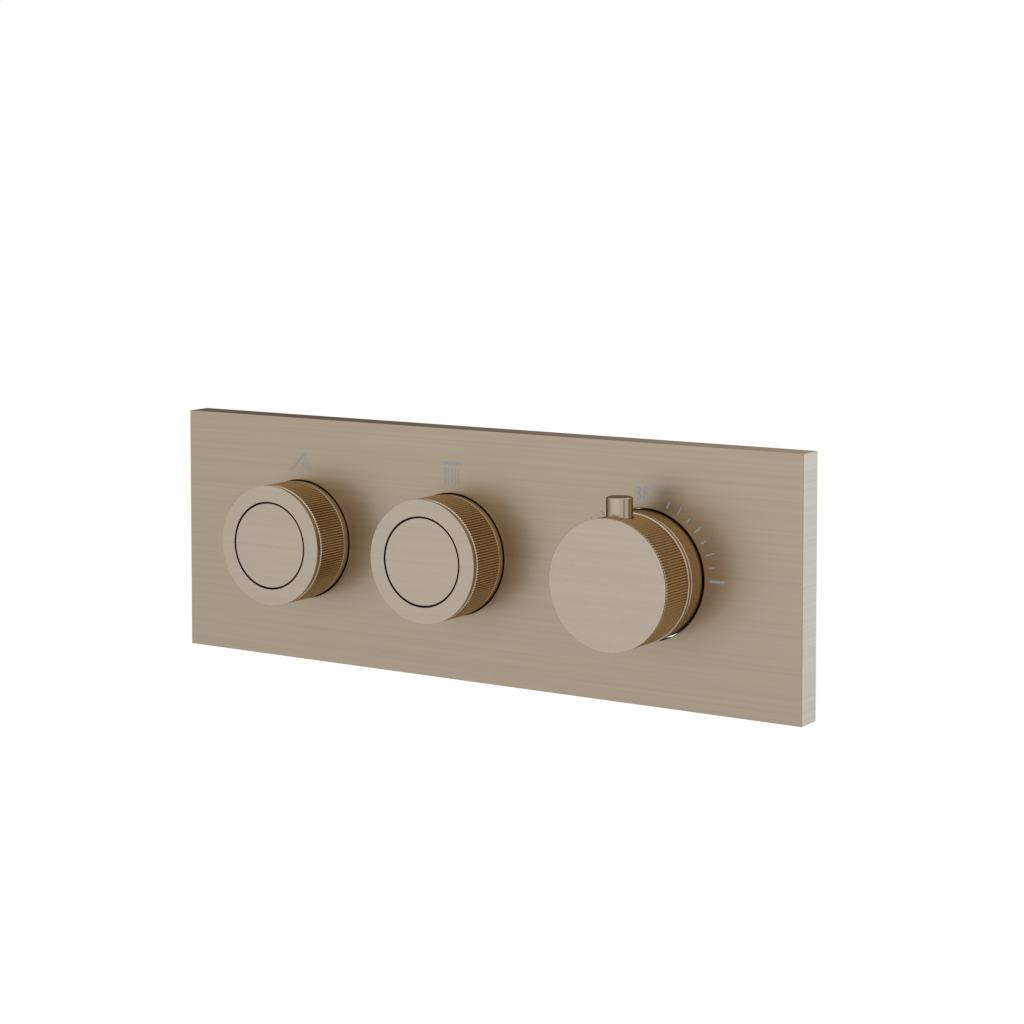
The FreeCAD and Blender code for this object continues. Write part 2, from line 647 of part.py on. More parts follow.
def cut_key_slots(body, width, reach, depth):
    """Two opposite key slots in the wall of a socket, cut from its mouth."""
    sketch = new_sketch(body, "XY_Plane", "keys", lift=SOCKET_MOUTH)
    draw_middle_rectangle(sketch, width, f"2 * ({reach})")
    pocket(body, sketch, depth, along_normal=True)


# Fixed collar of the dial, on three ears screwed to the tray, with the stop ring and its seal inside
def make_dial_collar():
    collar = turned("dial_collar", [
        (f"{COLLAR_BORE} - collar_ledge", TRAY_FACE),
        ("collar_radius", TRAY_FACE),
        ("collar_radius", f"{COLLAR_FACE} - collar_edge_break"),
        ("collar_radius - collar_edge_break", COLLAR_FACE),
        (COLLAR_BORE, COLLAR_FACE),
        (COLLAR_BORE, "stop_out"),
        (f"{COLLAR_BORE} - collar_ledge", "stop_out")], across=DIAL_ACROSS)
    arm = new_sketch(collar, "XY_Plane", "arm", lift=TRAY_FACE)
    draw_rectangle(arm, "collar_radius - collar_wall / 2", "ear_screw_circle",
                   "-ear_width / 2", "ear_width / 2")
    arm_pad = pad(collar, arm, "ear_thickness")
    eye = new_sketch(collar, "XY_Plane", "eye", lift=TRAY_FACE)
    draw_circle(eye, "ear_screw_circle", "0", "ear_width / 2")
    eye_pad = pad(collar, eye, "ear_thickness")
    hole = new_sketch(collar, "XY_Plane", "screw_hole", lift=EAR_FACE)
    draw_circle(hole, "ear_screw_circle", "0", "collar_screw_radius + screw_gap")
    hole_cut = pocket(collar, hole, "ear_thickness + overrun")
    repeat_round(collar, [arm_pad, eye_pad, hole_cut], arm, "ear_count")
    keep_group("collar_screws", [
        screw("collar_screw", "ear_thickness", "ear_thickness + tray_sheet", across, EAR_FACE, up)
        for across, up in ear_screw_places()])

    seal_middle = "(stop_out + stop_thickness / 2)"
    seal_floor = f"{STOP_BORE} + stop_seal + press_gap"
    seal_rear = f"{seal_middle} - stop_seal / 2 - press_gap"
    seal_front = f"{seal_middle} + stop_seal / 2 + press_gap"
    ring = turned("stop_ring", [
        (STOP_BORE, "stop_out"),
        (f"{COLLAR_BORE} - press_gap", "stop_out"),
        (f"{COLLAR_BORE} - press_gap", STOP_FACE),
        ("stop_outer_radius", STOP_FACE),
        ("stop_outer_radius", f"{STOP_FACE} + stop_height"),
        ("stop_inner_radius", f"{STOP_FACE} + stop_height"),
        ("stop_inner_radius", STOP_FACE),
        (STOP_BORE, STOP_FACE),
        (STOP_BORE, seal_front),
        (seal_floor, seal_front),
        (seal_floor, seal_rear),
        (STOP_BORE, seal_rear)], across=DIAL_ACROSS)
    swing = new_sketch(ring, "XY_Plane", "swing", lift=f"{STOP_FACE} + stop_height")
    draw_rectangle(swing, "-stop_outer_radius - overrun", "stop_outer_radius + overrun",
                   "-stop_outer_radius - overrun", "stop_lug_width / 2 + running_gap")
    pocket(ring, swing, "stop_height")
    turned("dial_seal", [
        (STOP_BORE, f"{seal_middle} - stop_seal / 2"),
        (f"{STOP_BORE} + stop_seal", f"{seal_middle} - stop_seal / 2"),
        (f"{STOP_BORE} + stop_seal", f"{seal_middle} + stop_seal / 2"),
        (STOP_BORE, f"{seal_middle} + stop_seal / 2")], across=DIAL_ACROSS)


# Temperature dial: a knurled cup on a plastic carrier whose hub turns in the stop ring
def make_temperature_dial():
    knurl_front = f"{DIAL_FACE} - dial_rim - dial_groove"
    relief_rear = "plate_depth + dial_knurl_rise - dial_relief"
    dial = turned("temperature_dial", [
        ("0", DIAL_FACE),
        ("dial_radius - grip_edge_break", DIAL_FACE),
        ("dial_radius", f"{DIAL_FACE} - grip_edge_break"),
        ("dial_radius", f"{DIAL_FACE} - dial_rim"),
        (DIAL_UNDERCUT, f"{DIAL_FACE} - dial_rim"),
        (DIAL_UNDERCUT, knurl_front),
        ("dial_radius", f"{knurl_front} - knurl_lead"),
        ("dial_radius", "plate_depth + dial_knurl_rise"),
        (DIAL_UNDERCUT, "plate_depth + dial_knurl_rise"),
        (DIAL_UNDERCUT, relief_rear),
        ("dial_rear_radius - dial_rear_edge", relief_rear),
        ("dial_rear_radius", f"{relief_rear} - dial_rear_edge"),
        ("dial_rear_radius", DIAL_REAR),
        (DIAL_BORE, DIAL_REAR),
        (DIAL_BORE, DIAL_WEB_BACK),
        ("0", DIAL_WEB_BACK)], across=DIAL_ACROSS)
    cut_knurl(dial, "dial_radius", f"({DIAL_FACE} - dial_rim - dial_groove / 2)",
              "plate_depth + dial_knurl_rise - dial_relief / 2", "dial_knurl_count")
    cut_radial_hole(dial, "safety_hole", SAFETY_OUT, "safety_radius + safety_gap", "0",
                    "dial_radius + overrun")
    cut_radial_hole(dial, "grub_hole", DIAL_GRUB_OUT, "grub_radius + screw_gap", "0",
                    "dial_radius + overrun", below=True)
    keep("dial_screw", grub_screw("dial_grub", DIAL_ACROSS, DIAL_GRUB_OUT, DIAL_CARRIER_INNER,
                                  "dial_radius - knurl_depth - grub_sink"))

    carrier = turned("dial_carrier", [
        ("spindle_radius", SOCKET_MOUTH),
        ("dial_hub_radius", SOCKET_MOUTH),
        ("dial_hub_radius", DIAL_CARRIER_REAR),
        (DIAL_CARRIER_OUTER, DIAL_CARRIER_REAR),
        (DIAL_CARRIER_OUTER, DIAL_CARRIER_FRONT),
        (DIAL_CARRIER_INNER, DIAL_CARRIER_FRONT),
        (DIAL_CARRIER_INNER, DIAL_CARRIER_FACE),
        ("dial_hub_radius", DIAL_CARRIER_FACE),
        ("dial_hub_radius", DIAL_CARRIER_FRONT),
        ("0", DIAL_CARRIER_FRONT),
        ("0", SPINDLE_FLOOR),
        ("spindle_radius", SPINDLE_FLOOR)], across=DIAL_ACROSS)
    cut_key_slots(carrier, "spindle_key_width", "spindle_radius + spindle_key_depth", "spindle_depth")
    lug = new_sketch(carrier, "XY_Plane", "lug", lift=DIAL_CARRIER_REAR)
    draw_rectangle(lug, "-stop_lug_width / 2", "stop_lug_width / 2",
                   "-stop_outer_radius + stop_lug_gap", "-stop_inner_radius - stop_lug_gap")
    pad(carrier, lug, f"{DIAL_CARRIER_REAR} - {STOP_FACE} - stop_lug_gap", backwards=True)
    cut_radial_hole(carrier, "grub_hole", DIAL_GRUB_OUT, "grub_radius + screw_gap",
                    f"{DIAL_CARRIER_INNER} - overrun", f"{DIAL_CARRIER_OUTER} + overrun", below=True)
    notch = new_sketch(carrier, "XZ_Plane", "safety_notch", lift="-(dial_hub_radius + overrun)")
    draw_rectangle(notch, "-safety_flange_radius - running_gap", "safety_flange_radius + running_gap",
                   f"{SAFETY_OUT} - safety_flange_radius - running_gap", f"{DIAL_CARRIER_FRONT} + overrun")
    pocket(carrier, notch, "dial_radius")
    seat_radius = "safety_spring_radius + safety_spring_wire + running_gap"
    cut_radial_hole(carrier, "safety_seat", SAFETY_OUT, seat_radius, SAFETY_SEAT, "dial_hub_radius + overrun")
    cut_radial_hole(carrier, "safety_bore", SAFETY_OUT, "safety_stem_radius + bearing_gap",
                    f"{SAFETY_STEM_END} - safety_travel - overrun", "dial_hub_radius + overrun")


# Safety button: a pin through the top of the dial, kept in by its flange, that a spring pushes outwards
def make_safety_button():
    top = "(dial_radius + safety_stand)"
    body = turned("safety_button", [
        ("0", SAFETY_STEM_END),
        ("safety_stem_radius", SAFETY_STEM_END),
        ("safety_stem_radius", SAFETY_FLANGE_BACK),
        ("safety_flange_radius", SAFETY_FLANGE_BACK),
        ("safety_flange_radius", SAFETY_FLANGE_FACE),
        ("safety_radius", SAFETY_FLANGE_FACE),
        ("safety_radius", top),
        ("0", top)], turn=UPWARDS, across=DIAL_ACROSS, out=SAFETY_OUT)
    doc.recompute()
    pin = body.Tip
    rims = edges_at(pin.Shape, pin.Shape.BoundBox.ZMax)
    rounded = body.newObject("PartDesign::Fillet", "safety_button_round")
    rounded.Base = (pin, rims)
    bind(rounded, "Radius", "safety_round")
    coil("safety_spring", "safety_spring_radius", "safety_spring_wire", "safety_spring_turns",
         SAFETY_SEAT, SAFETY_FLANGE_BACK, UPWARDS, DIAL_ACROSS, out=SAFETY_OUT, up=SAFETY_SEAT)


make_face_plate()
make_mounting_tray()
make_wall_gasket()
make_flow_control("handset", HANDSET_ACROSS)
make_flow_control("overhead", OVERHEAD_ACROSS)
make_dial_collar()
make_temperature_dial()
make_safety_button()
doc.recompute()

faults = [item.Label for item in doc.Objects if {"Invalid", "Error"} & set(item.State)]
faults += [item.Label for item in pieces if item.Shape.isNull() or not item.Shape.isValid()]
if faults:
    raise RuntimeError("not built: " + ", ".join(faults))
os.makedirs("parts", exist_ok=True)
for item in pieces:
    item.Shape.exportStep(f"parts/{item.Label}.step")
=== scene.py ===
import bpy
import math
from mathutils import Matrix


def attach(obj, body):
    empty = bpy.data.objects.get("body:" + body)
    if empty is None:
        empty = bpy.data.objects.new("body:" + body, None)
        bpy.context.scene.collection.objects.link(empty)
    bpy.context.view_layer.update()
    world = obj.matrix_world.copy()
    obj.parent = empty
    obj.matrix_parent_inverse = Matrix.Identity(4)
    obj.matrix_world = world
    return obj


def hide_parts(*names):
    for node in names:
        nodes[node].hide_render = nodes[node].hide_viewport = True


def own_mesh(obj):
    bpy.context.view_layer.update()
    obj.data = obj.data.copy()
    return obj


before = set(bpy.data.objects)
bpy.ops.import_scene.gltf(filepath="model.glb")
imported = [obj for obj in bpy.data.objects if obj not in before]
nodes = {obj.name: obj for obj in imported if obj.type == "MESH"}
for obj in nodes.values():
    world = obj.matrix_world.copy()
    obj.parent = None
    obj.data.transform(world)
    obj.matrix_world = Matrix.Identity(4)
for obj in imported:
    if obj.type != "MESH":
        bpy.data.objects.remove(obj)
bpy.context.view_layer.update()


# Wall gasket and plate seals: die-cut from black closed-cell foam sheet. The gasket lies between the tray and
# the wall, and each seal is a ring glued round a guide ring, pressed against the back of the face plate.
def new_material(name):
    material = bpy.data.materials.new(name)
    material.use_nodes = True
    return material, material.node_tree, material.node_tree.nodes["Principled BSDF"]


def add_node(tree, kind, settings, inputs):
    """A shader node with its settings, each of its inputs a socket or a value."""
    node = tree.nodes.new(kind)
    for name, value in settings.items():
        setattr(node, name, value)
    for name, value in inputs.items():
        if isinstance(value, bpy.types.NodeSocket):
            tree.links.new(value, node.inputs[name])
        else:
            node.inputs[name].default_value = value
    return node


def add_range(tree, value, low, high, to_low=0.0, to_high=1.0):
    """A value stretched from one range to another, and held at its ends."""
    node = add_node(tree, "ShaderNodeMapRange", {}, {
        "Value": value, "From Min": low, "From Max": high, "To Min": to_low, "To Max": to_high})
    return node.outputs["Result"]


def add_colour(tree, share, first, second):
    """A blend of two colours. The Mix node has its colours in sockets 6 and 7, and gives them out in 2."""
    node = add_node(tree, "ShaderNodeMix", {"data_type": "RGBA"}, {0: share, 6: first, 7: second})
    return node.outputs[2]


def add_relief(tree, shader, height, strength, depth):
    bump = add_node(tree, "ShaderNodeBump", {}, {"Height": height, "Strength": strength, "Distance": depth})
    tree.links.new(bump.outputs["Normal"], shader.inputs["Normal"])


def paint(tree, shader, tint, roughness):
    """Gives a shader a colour and a roughness that change over the surface."""
    tree.links.new(tint, shader.inputs["Base Color"])
    tree.links.new(roughness, shader.inputs["Roughness"])


def object_place(tree):
    return tree.nodes.new("ShaderNodeTexCoord").outputs["Object"]


def cover(piece, material):
    piece.data.materials.clear()
    piece.data.materials.append(material)


def dress(material, *names):
    """Gives CAD nodes a material in place of their plain colour."""
    for name in names:
        cover(nodes[name], material)


foam_dark, foam_pale = (0.016, 0.0152, 0.0145, 1), (0.042, 0.040, 0.038, 1)
foam_cells_per_metre, foam_cell_depth = 1500, 0.0003
foam, tree, shader = new_material("gasket_foam")
cells = add_node(tree, "ShaderNodeTexVoronoi", {}, {
    "Vector": object_place(tree), "Scale": foam_cells_per_metre}).outputs["Distance"]
paint(tree, shader, add_colour(tree, cells, foam_dark, foam_pale),
      add_range(tree, cells, 0.0, 0.8, to_low=0.95, to_high=0.75))
add_relief(tree, shader, cells, strength=0.6, depth=foam_cell_depth)
shader.inputs["Specular IOR Level"].default_value = 0.3
dress(foam, "wall_gasket", "handset_plate_seal", "overhead_plate_seal")


# Mounting tray: a shallow pan folded from stainless sheet with its mill finish left on, drilled for the
# controls and the screws. It carries everything that stays still, and sits inside the face plate.
def add_math(tree, operation, first, second=0.0, third=0.0):
    node = add_node(tree, "ShaderNodeMath", {"operation": operation}, {0: first, 1: second, 2: third})
    return node.outputs["Value"]


def add_parts(tree, vector):
    """The X, Y and Z of a place or of a direction."""
    return add_node(tree, "ShaderNodeSeparateXYZ", {}, {0: vector}).outputs


def add_stretch(tree, place, stretch):
    """A place drawn out differently along each axis, for grain that runs one way."""
    node = add_node(tree, "ShaderNodeVectorMath", {"operation": "MULTIPLY"}, {0: place, 1: stretch})
    return node.outputs["Vector"]


def add_noise(tree, place, scale, detail):
    node = add_node(tree, "ShaderNodeTexNoise", {}, {"Vector": place, "Scale": scale, "Detail": detail})
    return node.outputs["Fac"]


def add_contrast(tree, noise):
    """The middle of a noise's range, where nearly all of it lies, stretched from nought to one."""
    return add_range(tree, noise, 0.34, 0.66)


def add_mixture(tree, first, share, second):
    """Two textures together, the first by its share and the second by the rest."""
    rest = add_math(tree, "MULTIPLY", second, 1 - share)
    return add_math(tree, "MULTIPLY_ADD", first, share, rest)


def surface_facing(tree):
    return tree.nodes.new("ShaderNodeNewGeometry").outputs["Normal"]


def add_end_faces(tree, facing):
    """One on the faces at the left and right ends of a piece, else nought."""
    sideways = add_math(tree, "ABSOLUTE", add_parts(tree, facing)["X"])
    return add_range(tree, sideways, 0.6, 0.8)


def new_group(name, inputs, outputs):
    """An empty node group, the sockets of what it is given, and those of its results."""
    group = bpy.data.node_groups.new(name, "ShaderNodeTree")
    for label, kind, value in inputs:
        group.interface.new_socket(label, in_out="INPUT", socket_type=kind).default_value = value
    for label in outputs:
        group.interface.new_socket(label, in_out="OUTPUT", socket_type="NodeSocketFloat")
    given = group.nodes.new("NodeGroupInput").outputs
    results = group.nodes.new("NodeGroupOutput").inputs
    return group, given, results


def brushed_grain():
    """Fine straight scratches along the piece, or along its depth on its end faces."""
    group, given, results = new_group("brushed_grain", (
        ("Place", "NodeSocketVector", (0, 0, 0)), ("Facing", "NodeSocketVector", (0, 0, 1)),
        ("Along", "NodeSocketFloat", 20), ("Across", "NodeSocketFloat", 1500)), ("Streak",))
    along, across = given["Along"], given["Across"]
    on_end = add_end_faces(group, given["Facing"])
    for_faces = add_node(group, "ShaderNodeCombineXYZ", {}, {0: along, 1: across, 2: across}).outputs[0]
    for_ends = add_node(group, "ShaderNodeCombineXYZ", {}, {0: across, 1: along, 2: across}).outputs[0]
    # The Mix node has its vectors in sockets 4 and 5, and gives them out in 1.
    stretch = add_node(group, "ShaderNodeMix", {"data_type": "VECTOR"}, {
        0: on_end, 4: for_faces, 5: for_ends}).outputs[1]
    drawn = add_stretch(group, given["Place"], stretch)
    fine = add_noise(group, drawn, scale=1.0, detail=2.0)
    finer = add_noise(group, drawn, scale=2.9, detail=1.0)
    group.links.new(add_contrast(group, add_mixture(group, finer, 0.45, fine)), results["Streak"])
    return group


grain = brushed_grain()


def add_streaks(tree, along, across):
    """The streaks of the brushed grain, by how many there are to a metre along it and across it."""
    return add_node(tree, "ShaderNodeGroup", {"node_tree": grain}, {
        "Place": object_place(tree), "Facing": surface_facing(tree),
        "Along": along, "Across": across}).outputs["Streak"]


tray_dark, tray_pale = (0.45, 0.435, 0.415, 1), (0.59, 0.57, 0.545, 1)
tray_steel, tree, shader = new_material("tray_steel")
streaks = add_streaks(tree, along=12, across=700)
clouds = add_noise(tree, object_place(tree), scale=60, detail=3)
tone = add_mixture(tree, clouds, 0.5, streaks)
paint(tree, shader, add_colour(tree, tone, tray_dark, tray_pale),
      add_range(tree, tone, 0.2, 0.8, to_low=0.36, to_high=0.5))
add_relief(tree, shader, streaks, strength=0.12, depth=0.00003)
shader.inputs["Metallic"].default_value = 1.0
dress(tray_steel, "mounting_tray")


# Tray screws: four stainless pan-head screws, cold headed with rolled threads, that hold the tray to the wall
# box through its corner holes. The same steel makes the ear screws of the dial's collar and all grub screws.
def fresh_selection():
    bpy.ops.object.select_all(action="DESELECT")


def settle(piece, name):
    """Puts a finished piece's turn and place into its mesh, with its faces outwards."""
    weld_distance, crease_angle = 0.000002, math.radians(32)
    fresh_selection()
    piece.select_set(True)
    bpy.context.view_layer.objects.active = piece
    bpy.ops.object.transform_apply(location=True, rotation=True, scale=True)
    bpy.ops.object.mode_set(mode="EDIT")
    bpy.ops.mesh.select_all(action="SELECT")
    bpy.ops.mesh.remove_doubles(threshold=weld_distance)
    bpy.ops.mesh.normals_make_consistent(inside=False)
    bpy.ops.object.mode_set(mode="OBJECT")
    bpy.ops.object.shade_smooth_by_angle(angle=crease_angle)
    piece.name = name
    piece.data.name = name


def join_pieces(pieces, name):
    fresh_selection()
    for piece in pieces:
        piece.select_set(True)
    bpy.context.view_layer.objects.active = pieces[0]
    bpy.ops.object.join()
    settle(pieces[0], name)
    return pieces[0]


def winding(sides, wire_radius, coil_radius, turns, rise, steps_per_turn):
    """A wire of so many sides wound round the Z axis, with its ends closed."""
    fresh_selection()
    bpy.ops.mesh.primitive_circle_add(vertices=sides, radius=wire_radius, location=(coil_radius, 0, 0),
                                      rotation=(math.radians(90), 0, 0))
    coil = bpy.context.object
    bpy.ops.object.transform_apply(location=True, rotation=True)
    wound = coil.modifiers.new("wound", "SCREW")
    wound.axis = "Z"
    wound.angle = math.tau * turns
    wound.screw_offset = rise
    wound.steps = wound.render_steps = round(steps_per_turn * turns)
    bpy.ops.object.modifier_apply(modifier=wound.name)
    bpy.ops.object.mode_set(mode="EDIT")
    bpy.ops.mesh.select_all(action="SELECT")
    bpy.ops.mesh.fill_holes(sides=0)
    bpy.ops.object.mode_set(mode="OBJECT")
    return coil


def select_top(piece):
    """Leaves edit mode open with only the flat top of a piece selected."""
    bpy.ops.object.mode_set(mode="EDIT")
    bpy.ops.mesh.select_mode(type="FACE")
    bpy.ops.mesh.select_all(action="DESELECT")
    bpy.ops.object.mode_set(mode="OBJECT")
    for face in piece.data.polygons:
        face.select = face.normal.z > 0.999
    bpy.ops.object.mode_set(mode="EDIT")


def pan_head_screw(head_radius, head_height, neck_radius, neck_length, core_radius, length, pitch):
    """A screw along -Z, its head's underside at the origin: domed head, hexagon socket, neck and thread."""
    head_sides, dome_steps, shank_sides, thread_sides, thread_steps = 48, 4, 32, 3, 28
    dome, socket_depth = head_height * 0.45, head_height * 0.5
    top_rim, socket_flat, sixth = head_radius * 0.25, head_radius * 0.357, math.tau / 6
    point_radius, thread_radius, thread_start = core_radius * 0.75, pitch * 0.42, pitch * 0.6 - length
    fresh_selection()
    bpy.ops.mesh.primitive_cylinder_add(vertices=head_sides, radius=head_radius, depth=head_height,
                                        location=(0, 0, head_height / 2))
    head = bpy.context.object
    select_top(head)
    bpy.ops.mesh.bevel(offset=dome, segments=dome_steps, affect="EDGES")
    select_top(head)
    bpy.ops.mesh.inset(thickness=top_rim)
    bpy.ops.object.mode_set(mode="OBJECT")
    # The round inset is drawn in to a hexagon before it is sunk.
    for corner in {i for face in head.data.polygons if face.select for i in face.vertices}:
        spot = head.data.vertices[corner].co
        turn = math.atan2(spot.y, spot.x)
        reach = socket_flat / math.cos((turn + sixth / 2) % sixth - sixth / 2)
        spot.x, spot.y = reach * math.cos(turn), reach * math.sin(turn)
    bpy.ops.object.mode_set(mode="EDIT")
    bpy.ops.mesh.extrude_region_move(TRANSFORM_OT_translate={"value": (0, 0, -socket_depth)})
    bpy.ops.object.mode_set(mode="OBJECT")
    bpy.ops.mesh.primitive_cylinder_add(vertices=shank_sides, radius=neck_radius, depth=neck_length,
                                        location=(0, 0, -neck_length / 2))
    neck = bpy.context.object
    bpy.ops.mesh.primitive_cone_add(vertices=shank_sides, radius1=point_radius, radius2=core_radius,
                                    depth=pitch, location=(0, 0, pitch / 2 - length))
    point = bpy.context.object
    bpy.ops.mesh.primitive_cylinder_add(vertices=shank_sides, radius=core_radius,
                                        depth=length - neck_length - pitch,
                                        location=(0, 0, (pitch - length - neck_length) / 2))
    core = bpy.context.object
    turns = (length - neck_length) / pitch - 2.0
    thread = winding(thread_sides, thread_radius, core_radius, turns, pitch * turns, thread_steps)
    thread.location.z = thread_start
    return join_pieces([head, neck, point, core, thread], "pan_head_screw")


def screw_set(pattern, places, name, node):
    """Copies of one screw at its places, pointing into the wall, together as one piece."""
    copies = []
    for place in places:
        copy = pattern.copy()
        copy.data = pattern.data.copy()
        bpy.context.scene.collection.objects.link(copy)
        copy.rotation_euler = (math.radians(90), 0, 0)
        copy.location = place
        copies.append(copy)
    bpy.data.objects.remove(pattern)
    group = join_pieces(copies, name)
    cover(group, screw_steel)
    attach(group, "plate")
    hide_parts(node)


def speckled(name, dark, pale, specks_per_metre, detail, smooth, rough, relief=0.0):
    """A material whose colour, polish and relief vary in fine specks."""
    material, tree, shader = new_material(name)
    specks = add_noise(tree, object_place(tree), specks_per_metre, detail)
    paint(tree, shader, add_colour(tree, specks, dark, pale),
          add_range(tree, specks, 0.3, 0.7, smooth, rough))
    if relief:
        add_relief(tree, shader, specks, relief, depth=0.00002)
    return material, shader


screw_steel, shader = speckled(
    "screw_steel", dark=(0.41, 0.395, 0.38, 1), pale=(0.58, 0.56, 0.54, 1), specks_per_metre=900, detail=4,
    smooth=0.24, rough=0.4, relief=0.1)
shader.inputs["Metallic"].default_value = 1.0
dress(screw_steel, "plate_grub_screws", "handset_grip_screw", "overhead_grip_screw", "dial_screw")

tray_front, screws_across, screws_up = 0.0025, 0.1, 0.025
wall_screw = pan_head_screw(head_radius=0.0035, head_height=0.0024, neck_radius=0.002, neck_length=0.0015,
                            core_radius=0.0016, length=0.0175, pitch=0.0007)
screw_set(wall_screw, [(across, -tray_front, up) for across in (-screws_across, screws_across)
                       for up in (-screws_up, screws_up)], "wall_screws", "tray_screws")

ear_front, ear_circle, ear_count, dial_across = 0.0045, 0.027, 3, 0.0625
ear_screw = pan_head_screw(head_radius=0.00275, head_height=0.002, neck_radius=0.0015, neck_length=0.002,
                           core_radius=0.0011, length=0.0035, pitch=0.0005)
ear_turns = [i * math.tau / ear_count for i in range(ear_count)]
screw_set(ear_screw, [(dial_across + ear_circle * math.cos(turn), -ear_front, ear_circle * math.sin(turn))
                      for turn in ear_turns], "ear_screws", "collar_screws")


# Guide rings, stop ring, carriers, plungers and their rubber rings: black acetal where pieces turn on each
# other, dark grey glass-filled nylon where they carry the knobs, and black rubber where they keep water out.
# All are injection moulded, and the spark-eroded moulds leave a fine texture on them.
def moulded_skin():
    """The fine pebbled skin that a spark-eroded mould leaves."""
    group, given, results = new_group("moulded_skin", (
        ("Place", "NodeSocketVector", (0, 0, 0)), ("Pebbles", "NodeSocketFloat", 2500)), ("Skin",))
    pebbles = add_noise(group, given["Place"], given["Pebbles"], detail=2.0)
    flow = add_noise(group, given["Place"], scale=90, detail=2.0)
    group.links.new(add_mixture(group, flow, 0.35, pebbles), results["Skin"])
    return group


skin = moulded_skin()


def moulded(name, dark, pale, pebbles, smooth, rough, pieces):
    material, tree, shader = new_material(name)
    texture = add_node(tree, "ShaderNodeGroup", {"node_tree": skin}, {
        "Place": object_place(tree), "Pebbles": pebbles}).outputs["Skin"]
    paint(tree, shader, add_colour(tree, add_range(tree, texture, 0.35, 0.65), dark, pale),
          add_range(tree, texture, 0.35, 0.65, smooth, rough))
    add_relief(tree, shader, texture, strength=0.25, depth=0.00005)
    dress(material, *pieces)


moulded("guide_plastic", dark=(0.011, 0.011, 0.012, 1), pale=(0.020, 0.020, 0.021, 1), pebbles=2200,
        smooth=0.34, rough=0.48, pieces=["handset_guide_ring", "overhead_guide_ring", "stop_ring"])
moulded("carrier_plastic", dark=(0.026, 0.027, 0.029, 1), pale=(0.046, 0.047, 0.050, 1), pebbles=2600,
        smooth=0.42, rough=0.58, pieces=["handset_carrier", "overhead_carrier", "dial_carrier",
                                         "handset_plunger", "overhead_plunger"])
moulded("seal_rubber", dark=(0.010, 0.010, 0.010, 1), pale=(0.022, 0.022, 0.022, 1), pebbles=1600,
        smooth=0.62, rough=0.82, pieces=["handset_guide_seal", "overhead_guide_seal", "dial_seal"])


# Face plate: a shallow box pressed from stainless sheet, coated in a bronze nickel tone and brushed along its
# length. It slides over the tray, and two grub screws in its lower edge hold it there.
def add_between(tree, value, low, high):
    """One where a value lies between two limits, else nought."""
    return add_math(tree, "MULTIPLY", add_math(tree, "GREATER_THAN", value, low),
                    add_math(tree, "LESS_THAN", value, high))


plate_half_length, plate_half_height, plate_edge = 0.115, 0.04, 0.0006
front_dark, front_pale = (0.440, 0.342, 0.241, 1), (0.493, 0.387, 0.275, 1)
# The end faces, brushed along their depth, are painted paler and greyer than the front, as painted light
# falling on them.
lit_end_dark, lit_end_pale = (0.492, 0.422, 0.339, 1), (0.574, 0.495, 0.401, 1)
inside_shade = (0.030, 0.028, 0.026, 1)
plate_metal, tree, shader = new_material("plate_metal")
streaks = add_streaks(tree, along=8, across=1150)
place = add_parts(tree, object_place(tree))
facing = surface_facing(tree)
within_length = add_between(tree, place["X"], plate_edge - plate_half_length, plate_half_length - plate_edge)
within_height = add_between(tree, place["Z"], plate_edge - plate_half_height, plate_half_height - plate_edge)
off_front = add_math(tree, "GREATER_THAN", add_parts(tree, facing)["Y"], -0.3)
inside = add_math(tree, "MULTIPLY", add_math(tree, "MULTIPLY", within_length, within_height), off_front)
tint = add_colour(tree, add_end_faces(tree, facing), add_colour(tree, streaks, front_dark, front_pale),
                  add_colour(tree, streaks, lit_end_dark, lit_end_pale))
paint(tree, shader, add_colour(tree, inside, tint, inside_shade),
      add_range(tree, streaks, 0.0, 1.0, to_low=0.355, to_high=0.405))
add_relief(tree, shader, streaks, strength=0.06, depth=0.00002)
shader.inputs["Metallic"].default_value = 1.0
shader.inputs["Specular Tint"].default_value = (0.6, 0.5, 0.4, 1)
dress(plate_metal, "face_plate")


# Printed marks on the plate: pale grey ink, screen printed. A hand shower and a rain shower stand over the
# two flow controls, and the dial has a scale of sixteen lines with the figure of its safety stop at the top.
ink_height, plate_front = 0.00002, 0.0093
ink_middle = -plate_front - ink_height / 2
ink, shader = speckled(
    "mark_ink", dark=(0.335, 0.333, 0.32, 1), pale=(0.40, 0.398, 0.383, 1), specks_per_metre=2400, detail=3,
    smooth=0.45, rough=0.6)
shader.inputs["Specular IOR Level"].default_value = 0.3


def stroke(start, end, width, round_ends):
    """One printed line on the plate's front between two places in its plane."""
    across, up = end[0] - start[0], end[1] - start[1]
    length = math.hypot(across, up) + (width if round_ends else 0)
    corner, corner_steps = (0.49, 5) if round_ends else (0.12, 2)
    fresh_selection()
    bpy.ops.mesh.primitive_cube_add(size=1, scale=(length, ink_height, width),
                                    rotation=(0, -math.atan2(up, across), 0),
                                    location=((start[0] + end[0]) / 2, ink_middle, (start[1] + end[1]) / 2))
    line = bpy.context.object
    bpy.ops.object.transform_apply(location=False, rotation=False, scale=True)
    for edge in line.data.edges:
        first, second = (line.data.vertices[i].co for i in edge.vertices)
        edge.select = abs(first.y - second.y) > ink_height / 2
    for vertex in line.data.vertices:
        vertex.select = False
    for face in line.data.polygons:
        face.select = False
    bpy.ops.object.mode_set(mode="EDIT")
    bpy.ops.mesh.select_mode(type="EDGE")
    bpy.ops.mesh.bevel(offset=width * corner, segments=corner_steps, affect="EDGES")
    bpy.ops.object.mode_set(mode="OBJECT")
    return line


def print_marks(lines, name):
    marks = join_pieces(lines, name)
    cover(marks, ink)
    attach(marks, "plate")


